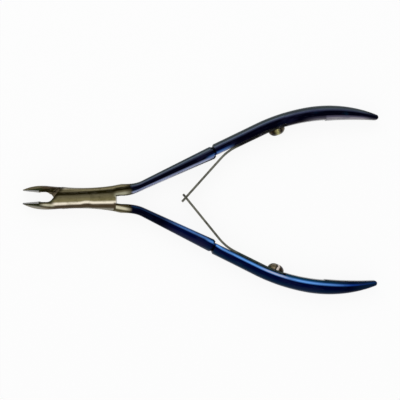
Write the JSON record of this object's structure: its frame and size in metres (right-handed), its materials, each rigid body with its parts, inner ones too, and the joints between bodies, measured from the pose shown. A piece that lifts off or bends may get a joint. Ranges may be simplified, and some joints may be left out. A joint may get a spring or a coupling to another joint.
{
  "type": "sprue nippers",
  "caption": "Fine hand nippers with a riveted lap joint, narrow cutting jaws, long bowed handles and crossed leaf springs that hold them open.",
  "frame": {"origin": "on the pivot axis, in the plane of the joint's lower face, which the tool lies on", "axes": "+Z along the pivot axis, +X towards the handles' tails with the jaws towards -X, +Y towards the upper handle; the tool is stored open"},
  "size_m": [0.1129, 0.06, 0.0064],
  "materials": {
    "arm_steel": "polished steel with a thin blue-violet heat-tinted coating, worn to grey steel at the joint and jaws",
    "rivet_steel": "ground flush with the joint",
    "spring_steel": "satin spring steel",
    "screw_steel": "polished, straw tinted"
  },
  "bodies": {
    "lower_arm_body": {"lower_arm": "arm_steel", "pivot_rivet": "rivet_steel", "lower_spring_screw": "screw_steel"},
    "upper_arm_body": {"upper_arm": "arm_steel", "upper_spring_screw": "screw_steel"},
    "upper_leaf": {"upper_spring": "spring_steel"},
    "lower_leaf": {"lower_spring": "spring_steel"}
  },
  "joints": [
    {"name": "handle_pivot", "type": "hinge", "parent": "lower_arm_body", "child": "upper_arm_body", "pos_m": [0, 0, 0.0032], "axis": [0, 0, -1], "range_deg": [0, 11], "stiffness_Nm_per_rad": 2, "springref_deg": -2.86},
    {"name": "upper_leaf_flex", "type": "hinge", "parent": "upper_arm_body", "child": "upper_leaf", "pos_m": [0.04336, 0.01296, 0.0032], "axis": [0, 0, -1], "range_deg": [0, 14.1], "deforming": ["upper_spring"]},
    {"name": "lower_leaf_flex", "type": "hinge", "parent": "lower_arm_body", "child": "lower_leaf", "pos_m": [0.04301, -0.01255, 0.0032], "axis": [0, 0, 1], "range_deg": [0, 12.7], "deforming": ["lower_spring"]}
  ],
  "couplings": [
    {"joint": "upper_leaf_flex", "follows": "handle_pivot", "ratio": 1.275},
    {"joint": "lower_leaf_flex", "follows": "handle_pivot", "ratio": 1.149}
  ]
}
